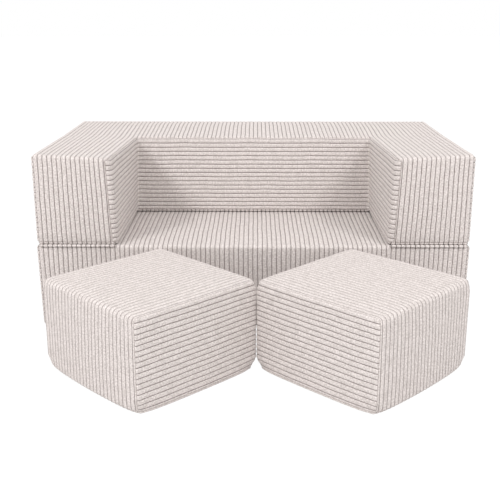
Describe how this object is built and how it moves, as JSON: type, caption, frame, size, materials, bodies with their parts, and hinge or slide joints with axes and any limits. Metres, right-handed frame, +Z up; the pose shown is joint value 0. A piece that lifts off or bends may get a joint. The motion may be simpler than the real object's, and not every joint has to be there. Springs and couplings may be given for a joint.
{
  "type": "kids fold-out sofa",
  "caption": "Low foam play sofa in wide-wale corduroy: its U-shaped back and arms fold forward to make a mattress, with square poufs that fill the gap",
  "frame": {"origin": "on the floor, at the middle of the seat block's underside", "axes": "+X to the right as one faces the sofa, +Y to the sofa's rear, +Z up"},
  "size_m": [1, 1.0383, 0.4],
  "materials": {
    "corduroy": "matte",
    "foam": "matte",
    "zip_tape": "matte",
    "zip_metal": "satin"
  },
  "bodies": {
    "seat": {"seat_foam_core": "foam", "seat_bottom_panel": "corduroy", "seat_wrap_panel": "corduroy", "seat_left_side_panel": "corduroy", "seat_right_side_panel": "corduroy", "seat_zip": "zip_tape", "left_hinge_strip": "corduroy", "right_hinge_strip": "corduroy"},
    "back": {"back_foam_core": "foam", "left_arm_foam_core": "foam", "right_arm_foam_core": "foam", "back_top_panel": "corduroy", "back_bottom_panel": "corduroy", "back_inner_gusset": "corduroy", "back_outer_gusset": "corduroy", "back_zip": "zip_tape"},
    "left_pouf": {"left_pouf_foam_core": "foam", "left_pouf_bottom_panel": "corduroy", "left_pouf_wrap_panel": "corduroy", "left_pouf_front_side_panel": "corduroy", "left_pouf_rear_side_panel": "corduroy", "left_pouf_zip": "zip_tape"},
    "right_pouf": {"right_pouf_foam_core": "foam", "right_pouf_bottom_panel": "corduroy", "right_pouf_wrap_panel": "corduroy", "right_pouf_front_side_panel": "corduroy", "right_pouf_rear_side_panel": "corduroy", "right_pouf_zip": "zip_tape"},
    "seat_slider": {"seat_zip_slider": "zip_metal", "seat_zip_pull": "zip_metal"},
    "back_slider": {"back_zip_slider": "zip_metal", "back_zip_pull": "zip_metal"},
    "left_pouf_slider": {"left_pouf_zip_slider": "zip_metal", "left_pouf_zip_pull": "zip_metal"},
    "right_pouf_slider": {"right_pouf_zip_slider": "zip_metal", "right_pouf_zip_pull": "zip_metal"}
  },
  "joints": [
    {"name": "back_fold", "type": "hinge", "parent": "seat", "child": "back", "pos_m": [0, -0.3, 0.2], "axis": [1, 0, 0], "range_deg": [0, 180]},
    {"name": "left_pouf_slide", "type": "slide", "parent": "seat", "child": "left_pouf", "axis": [0, -1, 0], "range_m": [0, 0.7226]},
    {"name": "right_pouf_slide", "type": "slide", "parent": "seat", "child": "right_pouf", "axis": [0, -1, 0], "range_m": [0, 0.7226]},
    {"name": "seat_zip_slide", "type": "slide", "parent": "seat", "child": "seat_slider", "axis": [1, 0, 0], "range_m": [0, 0.784]},
    {"name": "back_zip_slide", "type": "slide", "parent": "back", "child": "back_slider", "axis": [1, 0, 0], "range_m": [0, 0.784]},
    {"name": "left_pouf_zip_slide", "type": "slide", "parent": "left_pouf", "child": "left_pouf_slider", "axis": [0.7009, -0.7133, 0], "range_m": [0, 0.184]},
    {"name": "right_pouf_zip_slide", "type": "slide", "parent": "right_pouf", "child": "right_pouf_slider", "axis": [0.6947, 0.7193, 0], "range_m": [0, 0.184]}
  ],
  "couplings": [
    {"joint": "left_pouf_slide", "follows": "back_fold", "m_per_rad": 0.23},
    {"joint": "right_pouf_slide", "follows": "back_fold", "m_per_rad": 0.23}
  ]
}
